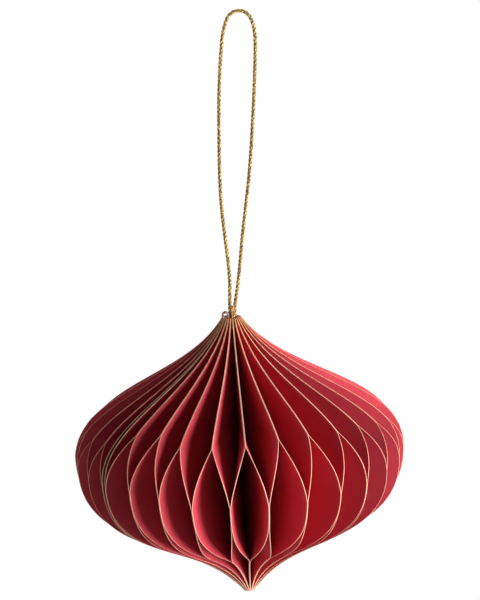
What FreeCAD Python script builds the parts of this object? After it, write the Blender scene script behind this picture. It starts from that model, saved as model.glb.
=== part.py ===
import FreeCAD, Part
import math
import os

# Honeycomb paper ball on a hanging cord. Sizes are in millimetres and degrees.
# The ball stands on its point, its axis is Z, and the origin is on the axis at mid height.
# Angles run round the axis from the front, which is -Y, towards +X.

# Outline of every leaf, measured from the axis and from its widest line
ball_radius = 55.0
crown_height = 45.9
crown_radius = 3.15
shoulder_pull = 20.2
neck_radius = 17.35
neck_height = 24.5
tip_depth = 49.3
tip_radius = 2.1
belly_pull = 28.8
taper_radius = 20.0
taper_depth = 25.4

# Paper and glue
paper_thickness = 0.2
leaf_pairs = 27
upper_glue_height = 13.4
stripe_height = -3.5
stripe_width = 4.3
lower_glue_height = -30.1
upper_arch_swell = 0.55
lower_arch_power = 2.5

# How the opened book of leaves is turned, and how its leaves crowd together on one side
seam_angle = -54.0
spread_bias = 3.6
crowded_turn = 60.0

# Hanging cord, its knot in the crown and the thread that ties it in
cord_thickness = 1.2
strand_left = -0.45
strand_right = 1.1
strand_back = 0.25
strand_rise = 3.0
knot_depth = 1.7
knot_length = 6.0
knot_radius = 1.45
knot_stub_radius = 0.62
knot_stub_front = 0.78
knot_stub_rise = 3.6
thread_thickness = 0.6
thread_loop_radius = 0.85
thread_loop_left = 2.15
thread_loop_front = 1.3
rest_gap = 0.05
cord_sides = 12
thread_sides = 8

# Points of the cord's centre line between its two upright ends, from the left strand up round
# the loop and back: left to right, depth behind the middle plane, and height above the crown
cord_route = [
    (0.3, 0.4, 12.9), (-0.4, 0.7, 24.1), (-1.25, 0.9, 36.1), (-1.25, 0.8, 48.1), (-0.6, 0.5, 62.1),
    (0.1, 0.2, 75.1), (1.3, 0.0, 86.8), (2.6, 0.1, 95.9), (5.3, 0.4, 101.5), (10.8, 0.7, 101.3),
    (13.1, 0.8, 95.5), (12.6, 0.6, 86.0), (11.6, 0.2, 74.6), (10.3, -0.1, 62.1), (8.9, -0.2, 50.1),
    (7.1, -0.1, 38.6), (5.1, 0.1, 27.1), (3.7, 0.3, 16.6), (2.2, 0.3, 7.7),
]

# Straight facets along each stretch of the outline
crown_facets = 9
upper_arch_facets = 5
stripe_facets = 1
lower_arch_facets = 6
tip_facets = 5

sheets = 2 * leaf_pairs + 2
core_step = 360.0 / sheets
core_radius = paper_thickness / (2 * math.sin(math.radians(core_step / 2)))
widest_z = (tip_depth - crown_height) / 2
crown_z = widest_z + crown_height
knot_top_z = crown_z - knot_depth


def curve_point(share, radius, pull, mid_radius, mid_height, end_radius, end_height):
    """Point at a share of the way along one half of the outline, as radius and height."""
    rest = 1 - share
    weights = (rest ** 3, 3 * rest ** 2 * share, 3 * rest * share ** 2, share ** 3)
    radii = (radius, radius, mid_radius, end_radius)
    heights = (0, pull, mid_height, end_height)
    return sum(w * r for w, r in zip(weights, radii)), sum(w * h for w, h in zip(weights, heights))


def outline_point(place):
    """Radius and height on the leaf's outline: place 1 is the crown, 0 the widest line, -1 the tip."""
    if place >= 0:
        share, pull = place, shoulder_pull
        ends = (neck_radius, neck_height, crown_radius, crown_height)
    else:
        share, pull = -place, -belly_pull
        ends = (taper_radius, -taper_depth, tip_radius, -tip_depth)
    return curve_point(share, ball_radius, pull, *ends)


def place_at(height):
    """Place on the outline that lies at a height, found by halving."""
    low, high = -1.0, 1.0
    for step in range(50):
        middle = (low + high) / 2
        if outline_point(middle)[1] < height:
            low = middle
        else:
            high = middle
    return (low + high) / 2


def bend_share(height):
    """How far a leaf has swung from the plane it shares with its partner towards its other neighbour."""
    stripe_bottom = stripe_height - stripe_width
    if height >= upper_glue_height or height <= lower_glue_height:
        return 0.0
    if height > stripe_height:
        along = (upper_glue_height - height) / (upper_glue_height - stripe_height)
        return along + upper_arch_swell * along * (1 - along)
    if height >= stripe_bottom:
        return 1.0
    along = (height - lower_glue_height) / (stripe_bottom - lower_glue_height)
    return 1 - (1 - along) ** lower_arch_power


def outline_stations():
    """Stations down the outline as (radius, height, bend), and the stretches where a leaf lies flat."""
    limits = [crown_height, upper_glue_height, stripe_height, stripe_height - stripe_width,
              lower_glue_height, -tip_depth]
    facets = [crown_facets, upper_arch_facets, stripe_facets, lower_arch_facets, tip_facets]
    flat = [True, False, True, False, True]
    stations = [(crown_radius, crown_height, 0.0)]
    stretches = []
    for top, bottom, count, is_flat in zip(limits, limits[1:], facets, flat):
        start = len(stations) - 1
        first, last = place_at(top), place_at(bottom)
        for step in range(1, count + 1):
            radius, height = outline_point(first + (last - first) * step / count)
            at_limit = step == count
            stations.append((radius, height, bend_share(bottom if at_limit else height)))
        stretches.append((start, start + count, is_flat))
    return stations, stretches


def heading(angle):
    """Level unit vector that points outwards at an angle."""
    return FreeCAD.Vector(math.sin(math.radians(angle)), -math.cos(math.radians(angle)), 0)


def core_point(number):
    """Point on the hollow core where a sheet's inner edge meets the next sheet's."""
    return heading(seam_angle + core_step * number) * core_radius


def contact_angle(number):
    """Outward angle of the plane in which two neighbouring sheets meet. The two outermost are the covers'."""
    turn = 360.0 * (min(max(number, 1), sheets - 1) - 1) / (sheets - 2)
    crowding = math.sin(math.radians(turn - crowded_turn)) + math.sin(math.radians(crowded_turn))
    return seam_angle + turn - spread_bias * crowding


def facet(*points):
    """Flat face with the given corners."""
    return Part.Face(Part.makePolygon(list(points) + [points[0]]))


def make_sheet(number, glued_angle, stripe_angle):
    """Sheet between two contact planes: flat at the glued angle, swung to the stripe angle at its stripe."""
    stations, stretches = outline_stations()
    inner_foot = core_point(number)
    across = core_point(number + 1) - inner_foot
    inner = []
    outer = []
    for radius, height, bend in stations:
        out = heading(glued_angle + bend * (stripe_angle - glued_angle))
        lean = inner_foot.dot(out)
        reach = math.sqrt(lean ** 2 + radius ** 2 - core_radius ** 2) - lean
        lift = FreeCAD.Vector(0, 0, widest_z + height)
        inner.append(inner_foot + lift)
        outer.append(inner_foot + out * reach + lift)
    side = []
    spine = [inner[0]]
    for start, end, is_flat in stretches:
        if is_flat:
            side.append([inner[start]] + outer[start:end + 1] + [inner[end]])
            spine.append(inner[end])
        else:
            for row in range(start, end):
                side.append([inner[row], outer[row], outer[row + 1]])
                side.append([inner[row], outer[row + 1], inner[row + 1]])
                spine.append(inner[row + 1])
    rim = [inner[0]] + outer + [inner[-1]]
    faces = [facet(*corners) for corners in side]
    faces += [facet(*[corner + across for corner in corners]) for corners in side]
    faces += [facet(a, b, b + across, a + across) for a, b in zip(rim, rim[1:])]
    faces.append(facet(*(spine + [corner + across for corner in reversed(spine)])))
    shell = Part.makeShell(faces)
    shell.sewShape()
    sheet = Part.makeSolid(shell)
    if sheet.Volume < 0:
        sheet.reverse()
    return sheet


def make_covers():
    """First and last sheets of the book: flat all over, and glued back to back at the seam."""
    return {
        "first_cover": make_sheet(0, seam_angle, seam_angle),
        "last_cover": make_sheet(sheets - 1, seam_angle, seam_angle),
    }


def make_leaves():
    """Leaves between the covers. Even planes hold the glued pairs, odd planes the stripes."""
    leaves = {}
    for number in range(1, sheets - 1):
        low, high = contact_angle(number), contact_angle(number + 1)
        glued, stripe = (low, high) if number % 2 == 0 else (high, low)
        leaves["leaf_%02d" % number] = make_sheet(number, glued, stripe)
    return leaves


def cord_points():
    """Centre line of the cord with its two level-cut ends on the knot."""
    left, right = [
        [FreeCAD.Vector(x, strand_back, z) for z in (knot_top_z, crown_z + strand_rise)]
        for x in (strand_left, strand_right)
    ]
    loop = [FreeCAD.Vector(x, y, crown_z + z) for x, y, z in cord_route]
    return left + loop + right[::-1]


def many_sided(radius, sides, centre, across, up):
    """Closed outline of a round section drawn with straight sides."""
    corners = []
    for number in range(sides + 1):
        angle = 2 * math.pi * number / sides
        corners.append(centre + across * (radius * math.cos(angle)) + up * (radius * math.sin(angle)))
    return Part.makePolygon(corners)


def make_cord_loop():
    """Cord as straight runs joined by tangent arcs."""
    points = cord_points()
    share_of_run = 0.45
    edges = []
    here = points[0]
    radii = []
    for before, corner, after in zip(points, points[1:], points[2:]):
        back, ahead = before - corner, after - corner
        cut = share_of_run * min(back.Length, ahead.Length)
        back.normalize()
        ahead.normalize()
        half_turn = (math.pi - back.getAngle(ahead)) / 2
        radius = cut / math.tan(half_turn)
        radii.append(radius)
        start, end = corner + back * cut, corner + ahead * cut
        inwards = back + ahead
        inwards.normalize()
        middle = corner + inwards * (radius / math.cos(half_turn) - radius)
        edges.append(Part.LineSegment(here, start).toShape())
        edges.append(Part.Arc(start, middle, end).toShape())
        here = end
    edges.append(Part.LineSegment(here, points[-1]).toShape())
    path = Part.Wire(edges)
    right, back = FreeCAD.Vector(1, 0, 0), FreeCAD.Vector(0, 1, 0)
    section = many_sided(cord_thickness / 2, cord_sides, points[0], right, back)
    cord = path.makePipeShell([section], True, False)
    ideal = Part.Face(section).Area * path.Length
    print("cord radii", [round(radius, 1) for radius in radii])
    print("cord length %.1f, volume %.2f, section times length %.2f" % (path.Length, cord.Volume, ideal))
    return cord


def make_cord_knot():
    """Knot in the core under the strands, with the folded stub that stands up in front of them."""
    rounding = knot_radius / 3
    middle_x = (strand_left + strand_right) / 2
    bottom_z = knot_top_z - knot_length
    barrel = Part.makeCylinder(knot_radius, knot_length, FreeCAD.Vector(middle_x, 0, bottom_z))
    rim = [edge for edge in barrel.Edges if edge.BoundBox.ZMax < bottom_z + rounding / 2]
    barrel = barrel.makeChamfer(rounding, rim)
    foot = FreeCAD.Vector(middle_x, -knot_stub_front, knot_top_z - rounding)
    height = knot_depth + knot_stub_rise + rounding - knot_stub_radius
    stub = Part.makeCylinder(knot_stub_radius, height, foot)
    crest_foot = foot + FreeCAD.Vector(0, 0, height)
    crest = Part.makeCone(knot_stub_radius, knot_stub_radius / 2, knot_stub_radius, crest_foot)
    return barrel.fuse([stub, crest]).removeSplitter()


def make_tie_thread():
    """Small closed loop of thread that stands on the crown beside the cord, at the top of the seam."""
    centre_z = crown_z + rest_gap + thread_thickness / 2 + thread_loop_radius
    centre = FreeCAD.Vector(-thread_loop_left, -thread_loop_front, centre_z)
    right, front = FreeCAD.Vector(1, 0, 0), FreeCAD.Vector(0, -1, 0)
    side = centre + right * thread_loop_radius
    section = many_sided(thread_thickness / 2, thread_sides, side, right, front)
    return Part.Face(section).revolve(centre, front, 360)


def make_parts():
    """Every piece by name."""
    pieces = make_covers()
    pieces.update(make_leaves())
    pieces["cord_loop"] = make_cord_loop()
    pieces["cord_knot"] = make_cord_knot()
    pieces["tie_thread"] = make_tie_thread()
    return pieces


os.makedirs("parts", exist_ok=True)
for name, piece in make_parts().items():
    piece.exportStep("parts/%s.step" % name)
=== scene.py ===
import math
import random

import bpy
import numpy as np
from mathutils import Matrix, Vector


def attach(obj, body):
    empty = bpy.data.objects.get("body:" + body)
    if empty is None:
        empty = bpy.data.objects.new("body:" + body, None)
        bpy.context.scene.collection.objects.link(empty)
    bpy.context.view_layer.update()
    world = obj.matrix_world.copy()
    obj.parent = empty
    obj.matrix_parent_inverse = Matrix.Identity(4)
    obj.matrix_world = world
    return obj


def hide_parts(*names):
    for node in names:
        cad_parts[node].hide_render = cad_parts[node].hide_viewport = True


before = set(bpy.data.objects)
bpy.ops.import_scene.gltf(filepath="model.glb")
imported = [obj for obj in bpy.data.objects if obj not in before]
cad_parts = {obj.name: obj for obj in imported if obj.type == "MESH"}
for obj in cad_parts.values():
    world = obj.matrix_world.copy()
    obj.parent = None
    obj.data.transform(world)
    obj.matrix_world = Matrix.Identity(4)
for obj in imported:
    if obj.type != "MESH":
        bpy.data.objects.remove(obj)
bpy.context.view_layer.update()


# Hanging cord. Three strands of dull gold metallic yarn are laid into one limp cord. It runs from the
# knot in the crown up round a narrow loop and back, leaning a little to the right under its own set.
mm = 0.001
cord_foot = (-0.45, 0.25, 45.9)
cord_route = [
    cord_foot, (-0.45, 0.25, 50.6), (0.3, 0.4, 60.5), (-0.4, 0.7, 71.7), (-1.25, 0.9, 83.7),
    (-1.25, 0.8, 95.7), (-0.6, 0.5, 109.7), (0.1, 0.2, 122.7), (1.3, 0.0, 134.4), (2.6, 0.1, 143.5),
    (5.3, 0.4, 149.1), (10.8, 0.7, 148.9), (13.1, 0.8, 143.1), (12.6, 0.6, 133.6), (11.6, 0.2, 122.2),
    (10.3, -0.1, 109.7), (8.9, -0.2, 97.7), (7.1, -0.1, 86.2), (5.1, 0.1, 74.7), (3.7, 0.3, 64.2),
    (2.2, 0.3, 55.3), (1.1, 0.25, 50.6), (1.1, 0.25, 45.9),
]
strand_count = 3
strand_lay = 4.4 * mm
strand_radius = 0.29 * mm
strand_offset = 0.325 * mm
yarn_spin = (4, 0.07, 2600.0)


class Wire:
    """One output of a finish's nodes. A sum written with it adds Math nodes."""

    def __init__(self, socket):
        self.socket = socket

    def step(self, operation, first, second):
        settings = {"operation": operation}
        return add_node(self.socket.id_data, "ShaderNodeMath", settings, {0: first, 1: second})

    def __add__(self, other):
        return self.step("ADD", self, other)

    def __radd__(self, other):
        return self.step("ADD", other, self)

    def __rsub__(self, other):
        return self.step("SUBTRACT", other, self)

    def __mul__(self, other):
        return self.step("MULTIPLY", self, other)

    def __rmul__(self, other):
        return self.step("MULTIPLY", other, self)


def add_node(tree, kind, settings, inputs, out=0):
    """Adds a node with its settings, then the values or links of its sockets, and gives one output."""
    node = tree.nodes.new(kind)
    for name, value in settings.items():
        if name == "stops":
            ramp = node.color_ramp
            while len(ramp.elements) < len(value):
                ramp.elements.new(1.0)
            for element, (place, tone) in zip(ramp.elements, value):
                element.position = place
                element.color = (*tone, 1)
        else:
            setattr(node, name, value)
    for name, value in inputs.items():
        if isinstance(value, Wire):
            tree.links.new(value.socket, node.inputs[name])
        else:
            node.inputs[name].default_value = value
    return Wire(node.outputs[out]) if node.outputs else None


def new_finish(name):
    """Empty material, with its node tree and the object's own coordinates in metres."""
    finish = bpy.data.materials.new(name)
    finish.use_nodes = True
    tree = finish.node_tree
    tree.nodes.clear()
    place = add_node(tree, "ShaderNodeTexCoord", {}, {}, "Object")
    return finish, tree, place


def noise(tree, place, scale, detail, roughness, stretch=(1, 1, 1)):
    """Soft random pattern from 0 to 1, with so many waves in a metre."""
    spread = add_node(tree, "ShaderNodeMapping", {}, {"Vector": place, "Scale": stretch})
    return add_node(
        tree, "ShaderNodeTexNoise", {},
        {"Vector": spread, "Scale": scale, "Detail": detail, "Roughness": roughness}, "Fac",
    )


def bump(tree, height, depth, strength=1.0):
    """Normal of a surface whose relief is so many metres deep."""
    relief = {"Strength": strength, "Distance": depth, "Height": height}
    return add_node(tree, "ShaderNodeBump", {}, relief, "Normal")


def finish_surface(tree, plain_colour, sockets):
    """Ends a finish in one shader. The plain colour is also set as the shader's own base colour, under the
    pattern. The plain colour stands in wherever the pattern isn't baked.
    """
    shader = add_node(tree, "ShaderNodeBsdfPrincipled", {}, sockets)
    shader.socket.node.inputs["Base Color"].default_value = (*plain_colour, 1)
    add_node(tree, "ShaderNodeOutputMaterial", {}, {"Surface": shader})


def spun_yarn(name, dark, middle, bright, metal):
    """Metallic yarn: flat foil threads that flash between darker, duller fibres."""
    finish, tree, place = new_finish(name)
    flakes = noise(tree, place, scale=2600, detail=2, roughness=0.6, stretch=(1, 1, 0.55))
    tones = {"stops": [(0.34, dark), (0.5, middle), (0.66, bright)]}
    fibres = noise(tree, place, scale=7000, detail=1, roughness=0.5, stretch=(1, 1, 0.3))
    finish_surface(tree, middle, {
        "Base Color": add_node(tree, "ShaderNodeValToRGB", tones, {"Fac": flakes}),
        "Metallic": metal,
        "Roughness": 0.62 - 0.3 * flakes,
        "Normal": bump(tree, fibres, depth=0.04 * mm),
    })
    return finish


def add_piece(name, points, faces, finishes, face_finishes=None, sharp_angle=60):
    """Mesh object at the origin that hangs with the ball."""
    mesh = bpy.data.meshes.new(name)
    mesh.from_pydata([tuple(point) for point in points], [], faces)
    for finish in finishes:
        mesh.materials.append(finish)
    if face_finishes is not None:
        mesh.polygons.foreach_set("material_index", face_finishes)
    mesh.shade_smooth()
    mesh.set_sharp_from_angle(angle=math.radians(sharp_angle))
    piece = bpy.data.objects.new(name, mesh)
    bpy.context.scene.collection.objects.link(piece)
    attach(piece, "root")
    return piece


def smooth_line(name, points):
    """Points of the smooth curve that the given points pull on, read from its spline."""
    curve = bpy.data.curves.new(name, "CURVE")
    curve.dimensions = "3D"
    curve.resolution_u = 24
    spline = curve.splines.new("NURBS")
    spline.points.add(len(points) - 1)
    for knot, (x, y, z) in zip(spline.points, points):
        knot.co = (x * mm, y * mm, z * mm, 1)
    spline.order_u = 3
    spline.use_endpoint_u = True
    holder = bpy.data.objects.new(name, curve)
    drawn = bpy.data.meshes.new_from_object(holder)
    line = np.array([vertex.co[:] for vertex in drawn.vertices])
    bpy.data.objects.remove(holder)
    return line


def distance_along(line):
    """How far along the line each of its points lies."""
    return np.concatenate([[0], np.cumsum(np.linalg.norm(np.diff(line, axis=0), axis=1))])


def even_steps(line, step):
    """The same line with its points evenly spaced, and how far along it each lies."""
    along = distance_along(line)
    places = np.linspace(0, along[-1], int(round(along[-1] / step)) + 1)
    return np.stack([np.interp(places, along, line[:, axis]) for axis in range(3)], axis=1), places


def side_directions(line):
    """Two directions square to a line at each point, turned as little as possible from point to point."""
    start_direction = (0.3, 1.0, 0.2)
    tangents = np.gradient(line, axis=0)
    tangents /= np.linalg.norm(tangents, axis=1)[:, None]
    side = np.cross(tangents[0], start_direction)
    sides = []
    for tangent in tangents:
        side = side - tangent * side.dot(tangent)
        side = side / np.linalg.norm(side)
        sides.append(side)
    sides = np.array(sides)
    return sides, np.cross(tangents, sides)


def yarn_tube(line, radius, corners, spin):
    """Points and faces of a spun strand, a tube with shallow flutes. Its spin is how many flutes it has,
    their depth as a share of the radius, and how many radians they turn in a metre."""
    flutes, flute_depth, flute_turn = spin
    sides, ups = side_directions(line)
    angles = np.arange(corners) * 2 * math.pi / corners
    twisted = angles[None, :] - distance_along(line)[:, None] * flute_turn
    reach = radius * (1 + flute_depth * np.cos(flutes * twisted))
    rings = (
        line[:, None, :]
        + sides[:, None, :] * (np.cos(angles)[None, :] * reach)[:, :, None]
        + ups[:, None, :] * (np.sin(angles)[None, :] * reach)[:, :, None]
    )
    faces = []
    last = (len(line) - 1) * corners
    for here in range(0, last, corners):
        there = here + corners
        for corner in range(corners):
            beside = (corner + 1) % corners
            faces.append((here + corner, here + beside, there + beside, there + corner))
    faces.append(tuple(reversed(range(corners))))
    faces.append(tuple(range(last, last + corners)))
    return rings.reshape(-1, 3), faces


def laid_strands(line, places, count, offset, radius, lay, corners):
    """Strands wound round a line like the strands of a cord, as one set of points and faces."""
    sides, ups = side_directions(line)
    points, faces = np.zeros((0, 3)), []
    for number in range(count):
        turn = 2 * math.pi * (places / lay + number / count)
        strand = line + offset * (sides * np.cos(turn)[:, None] + ups * np.sin(turn)[:, None])
        tube, skin = yarn_tube(strand, radius, corners, yarn_spin)
        faces += [tuple(corner + len(points) for corner in face) for face in skin]
        points = np.concatenate([points, tube])
    return points, faces


gold_yarn = spun_yarn("gold_yarn", (0.045, 0.027, 0.005), (0.22, 0.13, 0.024), (0.74, 0.50, 0.17), 0.5)
cord_line, cord_places = even_steps(smooth_line("cord_line", cord_route), step=0.24 * mm)
cord_points, cord_faces = laid_strands(
    cord_line, cord_places, strand_count, strand_offset, strand_radius, strand_lay, corners=12
)
hanging_cord = add_piece("hanging_cord", cord_points, cord_faces, [gold_yarn])
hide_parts("cord_loop")


# Knot in the crown. A copper coloured yarn is wound round both ends of the cord inside the core, and
# its folded end stands up in front of the strands.
knot_middle = 0.325
wrap_radius = 1.12
wrap_bottom, wrap_top = 40.3, 45.5
wrap_turns = 5
winding_steps = 200
fold_front = -0.78
fold_route = [
    (knot_middle - 0.6, -0.8, wrap_top), (knot_middle - 0.1, fold_front, 46.6),
    (knot_middle - 0.06, fold_front, 49.4), (knot_middle - 0.04, fold_front, 51.2),
    (knot_middle + 0.54, fold_front, 51.3), (knot_middle + 0.5, fold_front, 49.5),
    (knot_middle + 0.42, fold_front, 46.6), (knot_middle + 0.7, -0.75, wrap_top),
]
copper_yarn = spun_yarn("copper_yarn", (0.16, 0.065, 0.02), (0.44, 0.20, 0.07), (0.85, 0.55, 0.27), 0.5)
turning = np.linspace(0, 2 * math.pi * wrap_turns, winding_steps)
winding = np.stack([
    (knot_middle + wrap_radius * np.cos(turning)) * mm,
    wrap_radius * np.sin(turning) * mm,
    np.linspace(wrap_bottom, wrap_top, winding_steps) * mm,
], axis=1)
winding, winding_places = even_steps(winding, step=0.18 * mm)
knot_points, knot_faces = laid_strands(
    winding, winding_places, count=2, offset=0.16 * mm, radius=0.17 * mm, lay=1.6 * mm, corners=8
)
fold_line, fold_places = even_steps(smooth_line("fold_line", fold_route), step=0.12 * mm)
fold_points, fold_faces = laid_strands(
    fold_line, fold_places, count=2, offset=0.15 * mm, radius=0.2 * mm, lay=1.5 * mm, corners=10
)
knot_faces += [tuple(corner + len(knot_points) for corner in face) for face in fold_faces]
knot_points = np.concatenate([knot_points, fold_points])
crown_knot = add_piece("crown_knot", knot_points, knot_faces, [copper_yarn])
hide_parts("cord_knot")


# Tie thread. The two covers are tied together at the top with a spun thread of dusky plum. It comes up
# out of the seam between them and stands on the crown as a small loop beside the cord.
loop_route = [
    (-2.5, -1.85, 45.0), (-2.3, -1.7, 46.6), (-1.25, -1.3, 47.2), (-1.0, -1.3, 48.6), (-1.5, -1.3, 49.6),
    (-2.5, -1.3, 49.5), (-2.95, -1.35, 48.4), (-2.7, -1.5, 47.1), (-2.25, -1.75, 46.4), (-2.3, -1.9, 45.0),
]
thread_radius = 0.38 * mm
thread_spin = (3, 0.12, 2200.0)
plum_thread = spun_yarn("plum_thread", (0.06, 0.014, 0.02), (0.17, 0.05, 0.055), (0.45, 0.20, 0.17), 0.1)
loop_line = even_steps(smooth_line("loop_line", loop_route), step=0.1 * mm)[0]
loop_points, loop_faces = yarn_tube(loop_line, thread_radius, corners=12, spin=thread_spin)
tie_ring = add_piece("tie_ring", loop_points, loop_faces, [plum_thread])
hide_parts("tie_thread")


# Leaves. The ball is a book of 54 die-cut leaves of crimson paper between two covers, with gilt edges.
# Each leaf is glued to one neighbour along its upper and lower edge and to the other along a narrow
# stripe, and the book is opened right round, so that the glued pairs fork into honeycomb cells.
ball_radius = 55.0
crown_height = 45.9
tip_depth = 49.3
tip_trim = 0.3
widest_z = (tip_depth - crown_height) / 2
upper_pulls = [(ball_radius, 0), (ball_radius, 20.2), (17.35, 24.5), (3.15, crown_height)]
lower_pulls = [(ball_radius, 0), (ball_radius, -28.8), (20.0, -25.4), (1.8, tip_trim - tip_depth)]
paper = 0.2
sheets = 56
core_step = 360 / sheets
core_radius = paper / (2 * math.sin(math.radians(core_step / 2)))
seam_angle = -54.0
stripe_width = 4.3
random.seed(27)

# Meeting planes are counted round the ball from the seam. Pairs fork at the even ones, and stripes are
# at the odd ones. The leaves crowd a little on one side, and no angle or height comes out exact.
spread_bias = 3.6
crowded_turn = math.radians(60)
usual_stripe, stripe_swing = -1.8, 1.2
usual_fork, fork_swing = 14.9, 2.2
usual_low_fork = -28.4
angle_error, height_error = 0.5, 0.9
sway_sizes, sway_rates, sway_starts = (0.04, 0.16), (0.05, 0.16), (0, 6.28)

# How the leaves in front and at the left have settled: the angle of each meeting plane round the ball,
# the height where its pair forks or where its stripe begins, and the height of some lower forks
settled = {
    2: (-46.4, 17.3), 3: (-40.9, 1.2), 4: (-34.5, 18.1), 5: (-29.0, -0.1), 6: (-23.7, 15.7),
    7: (-17.4, -3.2), 8: (-10.6, 15.4), 9: (-4.3, -2.6), 10: (2.3, 15.7), 11: (8.8, -2.6),
    12: (15.6, 16.5), 13: (22.0, -3.0), 14: (28.7, 16.5), 15: (35.3, -2.6), 16: (42.2, 15.6),
    17: (47.8, -2.0), 18: (53.9, 15.2), 19: (60.2, -1.0), 20: (66.2, 13.6), 21: (73.0, -1.0),
    22: (78.0, 12.3), 47: (253.9, -0.8), 48: (262.0, 14.6), 49: (269.8, -0.4), 50: (277.2, 13.4),
    51: (284.0, 1.8), 52: (289.8, 12.6), 53: (295.6, 0.3), 54: (299.7, 13.1), 55: (305.3, -0.6),
    1: (-53.1, -0.6),
}
settled_low = {6: -27.4, 8: -29.2, 10: -28.5, 12: -27.9}


def meeting_plane(number):
    """Angle of a meeting plane, the height of its fork or stripe, its lower fork, and how it sways."""
    turn = math.radians(360 * (number - 1) / (sheets - 2))
    crowding = math.sin(turn - crowded_turn) + math.sin(crowded_turn)
    angle = seam_angle + math.degrees(turn) - spread_bias * crowding
    angle += random.uniform(-angle_error, angle_error)
    usual, swing = (usual_stripe, stripe_swing) if number % 2 else (usual_fork, fork_swing)
    height = usual + swing * math.cos(turn) + random.uniform(-height_error, height_error)
    low_fork = usual_low_fork + random.uniform(-height_error, height_error)
    angle, height = settled.get(number, (angle, height))
    waves = [[random.uniform(*span) for span in (sway_sizes, sway_rates, sway_starts)] for _ in range(2)]
    return angle, height, settled_low.get(number, low_fork), waves


planes = {number: meeting_plane(number) for number in range(1, sheets)}


def half_outline(pulls, places):
    """Radius and height on one half of a leaf's outline, at places from 0 at the widest line to 1."""
    rest = 1 - places
    weights = [rest ** 3, 3 * rest ** 2 * places, 3 * rest * places ** 2, places ** 3]
    radius = sum(weight * pull[0] for weight, pull in zip(weights, pulls))
    height = sum(weight * pull[1] for weight, pull in zip(weights, pulls))
    return radius, height


outline_places = np.linspace(0, 1, 2001)
upper_radius, upper_height = half_outline(upper_pulls, outline_places)
lower_radius, lower_height = half_outline(lower_pulls, outline_places)
outline_radius = np.concatenate([lower_radius[::-1], upper_radius[1:]])
outline_height = np.concatenate([lower_height[::-1], upper_height[1:]]) + widest_z
outline_length = distance_along(np.stack([outline_radius, outline_height], axis=1))


def row_lengths(limits, counts):
    """How far along the outline a sheet's rows lie, evenly spaced between the heights of its folds."""
    marks = [np.interp(limit, outline_height, outline_length) for limit in limits]
    rows = [np.linspace(a, b, count, endpoint=False) for a, b, count in zip(marks, marks[1:], counts)]
    return np.concatenate(rows + [[marks[-1]]])


def plane_angles(number, heights):
    """A meeting plane's angle at each height: the paper is never quite straight."""
    angle, _, _, waves = planes[number]
    return angle + sum(size * np.sin(heights * rate + start) for size, rate, start in waves)


# How a sheet bends between its glue lines, how true its edge is cut, how the tip leans to the right,
# what share of its wedge stays open, how far its rim is rounded, and its rows between the folds
bend_swell, swell_error = 0.55, 0.08
lower_bend = 2.5
trim_error, trim_fade = 0.12, 12
tip_lean, tip_lean_start, tip_lean_power = 0.85, -20, 1.3
sheet_gap = 0.03
rim_roundness = 0.04
leaf_row_counts = [40, 22, 4, 30, 22]
cover_row_counts = [60, 56]


def sheet_rows(glued, stripe):
    """How far along the outline each row of a sheet lies, its height, and its angle round the ball: the
    glued plane's above the fork and below the lower fork, the stripe's at the stripe."""
    top, end = widest_z + upper_pulls[-1][1], widest_z + lower_pulls[-1][1]
    if stripe is None:
        lengths = row_lengths([top, 0.0, end], cover_row_counts)
        heights = np.interp(lengths, outline_length, outline_height)
        return lengths, heights, plane_angles(glued, heights)
    _, fork, low_fork, _ = planes[glued]
    _, stripe_top, _, _ = planes[stripe]
    stripe_end = stripe_top - stripe_width
    lengths = row_lengths([top, fork, stripe_top, stripe_end, low_fork, end], leaf_row_counts)
    heights = np.interp(lengths, outline_length, outline_height)
    swell = bend_swell + random.uniform(-swell_error, swell_error)
    along = np.clip((fork - heights) / (fork - stripe_top), 0, 1)
    upper_share = along + swell * along * (1 - along)
    below = np.clip((heights - low_fork) / (stripe_end - low_fork), 0, 1)
    share = np.where(heights < stripe_end, 1 - (1 - below) ** lower_bend, upper_share)
    angles = plane_angles(glued, heights) * (1 - share) + plane_angles(stripe, heights) * share
    return lengths, heights, angles


# Width of the gilding on a sheet's faces: it wanders along the edge and is smeared here and there near
# the crown. The columns are where a face's points lie between the gilding and the core.
gilt_width, cover_gilt = 0.07, 0.3
gilt_wander, wander_rates = 0.02, (1.7, 4.3)
smear_width, smear_start, smear_rise, smear_rate, smear_power = 0.3, 36, 9, 3.1, 6
face_columns = [0.03, 0.07, 0.13, 0.21, 0.31, 0.43, 0.57, 0.73, 0.88, 1.0]


def gilt_edge(number, stripe, lengths, heights):
    """How far the gold reaches in from the edge at each row."""
    slow, fast = wander_rates
    gilt = gilt_width + gilt_wander * np.sin(lengths * slow + number)
    gilt = gilt + gilt_wander * np.sin(lengths * fast + 2 * number)
    near_crown = np.clip((heights - smear_start) / smear_rise, 0, 1)
    smears = np.clip(np.sin(lengths * smear_rate + 3 * number), 0, 1) ** smear_power
    gilt = gilt + smear_width * near_crown * smears
    return gilt + cover_gilt if stripe is None else gilt


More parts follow.
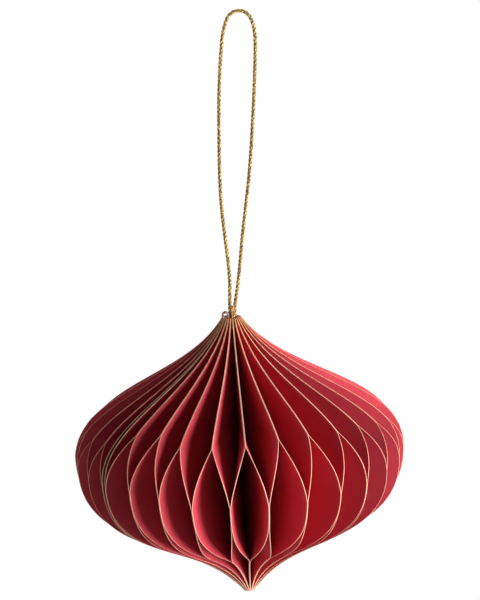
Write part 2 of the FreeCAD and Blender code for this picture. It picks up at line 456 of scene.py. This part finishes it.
def sheet_faces(rows, columns, painted_shade_side):
    """Faces of a sheet's two sides, its rim and its inner edge, and each one's finish: the paper is 0,
    the gilding 1 and the dark paper of the painted seam shade 2."""
    side_points = rows * columns
    low = np.arange(side_points).reshape(rows, columns).tolist()
    high = np.arange(side_points, 2 * side_points).reshape(rows, columns).tolist()
    rim = range(2 * side_points, 2 * side_points + rows)
    faces, finishes = [], []
    for row in range(rows - 1):
        under = row + 1
        for column in range(columns - 1):
            inner = column + 1
            for name, side in (("low", low), ("high", high)):
                a, b, c, d = side[row][column], side[row][inner], side[under][inner], side[under][column]
                faces.append((a, d, c, b) if name == "low" else (a, b, c, d))
                # Finish 2 on the shaded side is painted shade: dark paper standing in for the shadow at
                # the seam.
                finishes.append(1 if column == 0 else 2 if name == painted_shade_side else 0)
        for side, order in ((low, 1), (high, -1)):
            faces.append((side[row][0], rim[row], rim[under], side[under][0])[::order])
            finishes.append(1)
        faces.append((low[row][-1], low[under][-1], high[under][-1], high[row][-1]))
        finishes.append(0)
    for row, order in ((0, 1), (rows - 1, -1)):
        for column in range(columns - 1):
            inner = column + 1
            faces.append((low[row][column], low[row][inner], high[row][inner], high[row][column])[::order])
            finishes.append(1)
        faces.append((low[row][0], high[row][0], rim[row])[::order])
        finishes.append(1)
    return faces, finishes


def core_point(number):
    """Where the inner edge of a sheet starts on the core."""
    angle = math.radians(seam_angle + core_step * number)
    return core_radius * np.array([math.sin(angle), -math.cos(angle)])


def build_sheet(name, number, glued, stripe, finishes, painted_shade_side=None):
    """One sheet: flat in the plane it is glued in, swung over to the plane of its stripe between."""
    lengths, heights, angles = sheet_rows(glued, stripe)
    radii = np.interp(lengths, outline_length, outline_radius)
    trim = random.uniform(-trim_error, trim_error)
    radii = radii + trim * np.clip((radii - core_radius) / trim_fade, 0, 1)
    heading = np.stack([np.sin(np.radians(angles)), -np.cos(np.radians(angles))], axis=1)
    foot = core_point(number)
    across = core_point(number + 1) - foot
    lean = heading @ foot
    reach = np.sqrt(lean ** 2 + radii ** 2 - core_radius ** 2) - lean
    gilt = gilt_edge(number, stripe, lengths, heights)
    depths = [np.zeros(len(reach)), gilt] + [gilt + (reach - gilt) * share for share in face_columns]
    tip_share = (tip_lean_start - heights) / (tip_lean_start + tip_depth - widest_z)
    lean_right = tip_lean * np.clip(tip_share, 0, 1) ** tip_lean_power
    sides = []
    for shift in (sheet_gap / 2, 1 - sheet_gap / 2):
        side = np.zeros((len(reach), len(depths), 3))
        for column, depth in enumerate(depths):
            side[:, column, :2] = foot + across * shift + heading * (reach - depth)[:, None]
            side[:, column, 2] = heights
        side[:, :, 0] += lean_right[:, None]
        sides.append(side)
    rim = (sides[0][:, 0] + sides[1][:, 0]) / 2
    rim[:, :2] += heading * rim_roundness
    points = np.concatenate([sides[0].reshape(-1, 3), sides[1].reshape(-1, 3), rim]) * mm
    faces, face_finishes = sheet_faces(len(reach), len(depths), painted_shade_side)
    return add_piece(name, points, faces, finishes, face_finishes, sharp_angle=35)


def blend_colours(tree, share, first, second):
    """Colour between two others."""
    return add_node(tree, "ShaderNodeMix", {"data_type": "RGBA"}, {0: share, 6: first, 7: second}, 2)


def dyed_paper(name, deep, pale, shine=0.35):
    """Dyed, uncoated paper: even colour with a fine fibre tooth, paler where the fibres stand up."""
    finish, tree, place = new_finish(name)
    fibres = noise(tree, place, scale=3800, detail=3, roughness=0.65)
    clouds = noise(tree, place, scale=140, detail=2, roughness=0.5)
    tone = 0.55 * fibres + 0.45 * clouds
    middle = [(a + b) / 2 for a, b in zip(deep, pale)]
    finish_surface(tree, middle, {
        "Base Color": blend_colours(tree, tone, (*deep, 1), (*pale, 1)),
        "Roughness": 0.6 + 0.2 * fibres,
        "Specular IOR Level": shine,
        "Normal": bump(tree, fibres, depth=0.02 * mm, strength=0.6),
        "Subsurface Weight": 0.2,
        "Subsurface Radius": (1.0, 0.10, 0.12),
        "Subsurface Scale": 0.35 * mm,
    })
    return finish


def gilding():
    """Rose gold on the cut edges, rubbed on by hand, so a little uneven, and browner near the crown."""
    finish, tree, place = new_finish("gilding")
    rubbed = noise(tree, place, scale=900, detail=3, roughness=0.6)
    height = add_node(tree, "ShaderNodeSeparateXYZ", {}, {"Vector": place}, "Z")
    crown_range = {"From Min": 34 * mm, "From Max": 45 * mm}
    near_crown = add_node(tree, "ShaderNodeMapRange", {}, {"Value": height, **crown_range})
    edge = blend_colours(tree, rubbed, (0.74, 0.33, 0.20, 1), (1.0, 0.69, 0.51, 1))
    crown = blend_colours(tree, rubbed, (0.30, 0.12, 0.04, 1), (0.90, 0.52, 0.26, 1))
    finish_surface(tree, (0.80, 0.47, 0.30), {
        "Base Color": blend_colours(tree, near_crown, edge, crown),
        "Metallic": 0.18,
        "Specular IOR Level": 0.1,
        "Roughness": 0.65 - 0.2 * rubbed,
        "Normal": bump(tree, rubbed, depth=0.03 * mm, strength=0.5),
    })
    return finish


leaf_paper = dyed_paper("leaf_paper", (0.50, 0.029, 0.050), (0.64, 0.063, 0.088))
edge_gold = gilding()
for number in range(1, sheets - 1):
    glued, stripe = (number, number + 1) if number % 2 == 0 else (number + 1, number)
    leaf = build_sheet("paper_leaf_%02d" % number, number, glued, stripe, [leaf_paper, edge_gold])
    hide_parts("leaf_%02d" % number)


# Covers. The first and last sheets of the book meet at the seam. They stay flat and stand a little apart
# at the rim. The sides that face each other are coloured dark olive-brown as painted shade, standing in
# for the shadow in the gap between them.
cover_paper = dyed_paper("cover_paper", (0.49, 0.028, 0.048), (0.63, 0.061, 0.086))
# Dark olive-brown paper on the covers' facing sides is painted shade for the gap at the seam, not a real
# lining.
painted_seam_shade = dyed_paper("painted_seam_shade", (0.16, 0.06, 0.025), (0.28, 0.12, 0.05), shine=0.05)
for name, node, number, plane, seam_shade_side in (
    ("paper_cover_front", "first_cover", 0, 1, "low"),
    ("paper_cover_back", "last_cover", sheets - 1, sheets - 1, "high"),
):
    cover = build_sheet(name, number, plane, None, [cover_paper, edge_gold, painted_seam_shade], seam_shade_side)
    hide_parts(node)


# Studio: a pale floor below the hanging ball, a big soft lamp from the right, a weak one from the left
# and white surroundings.
floor_z = -250 * mm
floor_radius = 550 * mm
floor_sides = 96
floor_mesh = bpy.data.meshes.new("floor")
floor_angles = np.linspace(0, 2 * math.pi, floor_sides, endpoint=False)
floor_corners = [(floor_radius * math.cos(a), floor_radius * math.sin(a), floor_z) for a in floor_angles]
floor_mesh.from_pydata(floor_corners, [], [tuple(range(floor_sides))])
floor = bpy.data.objects.new("floor", floor_mesh)
bpy.context.scene.collection.objects.link(floor)
floor_finish, tree, place = new_finish("pale_floor")
from_middle = add_node(tree, "ShaderNodeVectorMath", {"operation": "LENGTH"}, {0: place}, "Value")
fade = add_node(
    tree, "ShaderNodeMapRange", {"interpolation_type": "SMOOTHSTEP"},
    {"Value": from_middle, "From Min": 330 * mm, "From Max": 560 * mm, "To Min": 0.6, "To Max": 1.0},
)
seen = add_node(tree, "ShaderNodeLightPath", {}, {}, "Is Camera Ray")
below = add_node(tree, "ShaderNodeNewGeometry", {}, {}, "Backfacing")
matte = add_node(tree, "ShaderNodeBsdfDiffuse", {}, {"Color": (0.86, 0.86, 0.86, 1)})
white = add_node(tree, "ShaderNodeEmission", {}, {"Color": (1, 1, 1, 1), "Strength": 1.0})
clear = add_node(tree, "ShaderNodeBsdfTransparent", {}, {})
top = add_node(tree, "ShaderNodeMixShader", {}, {0: seen * fade, 1: matte, 2: white})
whole = add_node(tree, "ShaderNodeMixShader", {}, {0: seen * below, 1: top, 2: clear})
add_node(tree, "ShaderNodeOutputMaterial", {}, {"Surface": whole})
floor_mesh.materials.append(floor_finish)

world_light = 0.03
world = bpy.data.worlds.new("studio")
bpy.context.scene.world = world
world.use_nodes = True
tree = world.node_tree
tree.nodes.clear()
shown = 0.0
for ray in ("Is Camera Ray", "Is Glossy Ray", "Is Transmission Ray"):
    ray_share = add_node(tree, "ShaderNodeLightPath", {}, {}, ray)
    shown = add_node(tree, "ShaderNodeMath", {"operation": "MAXIMUM"}, {0: shown, 1: ray_share})
strength = world_light + (1 - world_light) * shown
sky = add_node(tree, "ShaderNodeBackground", {}, {"Color": (1, 1, 1, 1), "Strength": strength})
add_node(tree, "ShaderNodeOutputWorld", {}, {"Surface": sky})


def add_lamp(name, azimuth, elevation, distance, size, power):
    """Round soft lamp that points at the ball, turned to the right and raised by so many degrees."""
    lamp = bpy.data.lights.new(name, "AREA")
    lamp.shape, lamp.size, lamp.energy = "DISK", size, power
    holder = bpy.data.objects.new(name, lamp)
    a, e = math.radians(azimuth), math.radians(elevation)
    way = Vector((math.sin(a) * math.cos(e), -math.cos(a) * math.cos(e), math.sin(e)))
    holder.location = way * distance
    holder.rotation_mode = "QUATERNION"
    holder.rotation_quaternion = way.to_track_quat("Z", "Y")
    bpy.context.scene.collection.objects.link(holder)


add_lamp("key_lamp", azimuth=57, elevation=2, distance=1.1, size=0.85, power=28.5)
add_lamp("left_lamp", azimuth=-62, elevation=6, distance=1.1, size=0.6, power=2.6)


# Camera: a long lens from a little above, rolled slightly, as the ball was photographed. Pitch and roll
# are those of a point below the middle of the picture, so the lens is turned up from there.
eye = Vector((0, -0.9716, 0.2704))
pitch, roll = math.radians(15.725), math.radians(3.298)
lens_pixels, right_pixels, up_pixels = 3000, 0.1, 163.7
forward = Vector((0, math.cos(pitch), -math.sin(pitch)))
level, upright = Vector((1, 0, 0)), Vector((0, math.sin(pitch), math.cos(pitch)))
right = level * math.cos(roll) - upright * math.sin(roll)
up = level * math.sin(roll) + upright * math.cos(roll)
aim = (forward * lens_pixels + right * right_pixels + up * up_pixels).normalized()
side = aim.cross(up).normalized()
top_of_frame = side.cross(aim)
lens = bpy.data.cameras.new("camera")
lens.sensor_width = 36
lens.lens = 180.4
lens.clip_start, lens.clip_end = 0.05, 20
camera = bpy.data.objects.new("camera", lens)
camera.location = eye
camera.rotation_mode = "QUATERNION"
camera.rotation_quaternion = Matrix((side, top_of_frame, -aim)).transposed().to_quaternion()
bpy.context.scene.collection.objects.link(camera)
bpy.context.scene.camera = camera
bpy.context.scene.view_settings.view_transform = "Standard"
